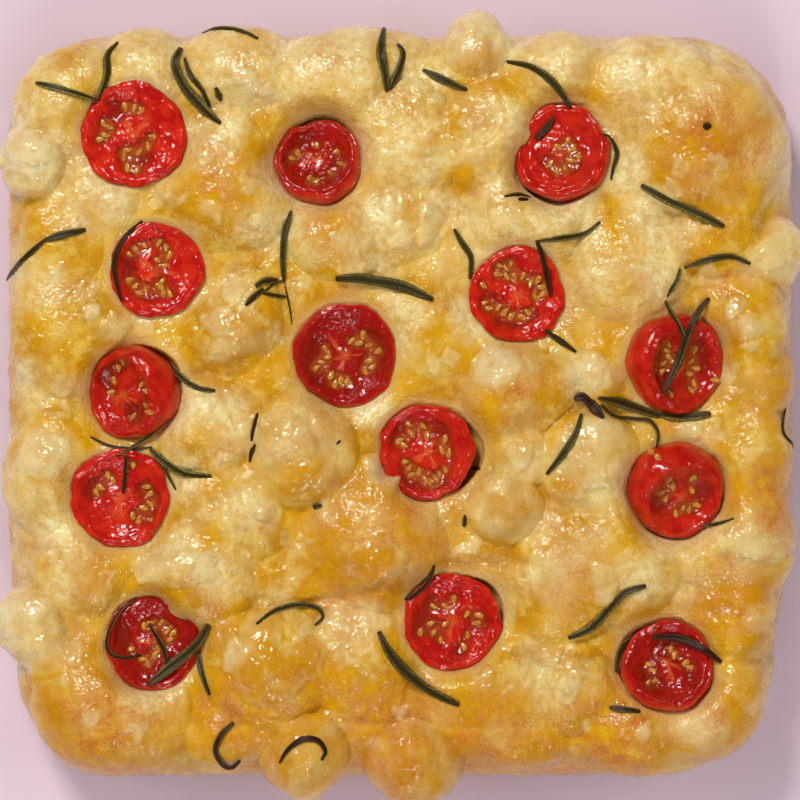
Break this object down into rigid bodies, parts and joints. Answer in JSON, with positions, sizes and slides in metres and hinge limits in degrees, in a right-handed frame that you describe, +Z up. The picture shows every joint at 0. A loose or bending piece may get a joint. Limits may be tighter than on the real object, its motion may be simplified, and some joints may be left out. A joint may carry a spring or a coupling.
{
  "type": "focaccia",
  "caption": "Square pan-baked focaccia with puffed, blistered crust, halved cherry tomatoes set in pockets and rosemary needles baked onto the top.",
  "frame": {"origin": "centre of the flat base, on the surface the bread rests on", "axes": "+Z up through the bread, +Y towards the back of the slab, +X to the right"},
  "size_m": [0.2028, 0.1986, 0.0383],
  "materials": {
    "crust": "thin baked wheat crust, oiled, golden with pale valleys and toasted tops",
    "tomato": "wet roasted tomato, skin and cut face",
    "rosemary": "roasted rosemary needle, dark green to brown, slightly oily"
  },
  "bodies": {
    "root": {"bread": "crust", "tomato_01": "tomato", "tomato_02": "tomato", "tomato_03": "tomato", "tomato_04": "tomato", "tomato_05": "tomato", "tomato_06": "tomato", "tomato_07": "tomato", "tomato_08": "tomato", "tomato_09": "tomato", "tomato_10": "tomato", "tomato_11": "tomato", "tomato_12": "tomato", "tomato_13": "tomato", "tomato_14": "tomato"}
  },
  "joints": []
}
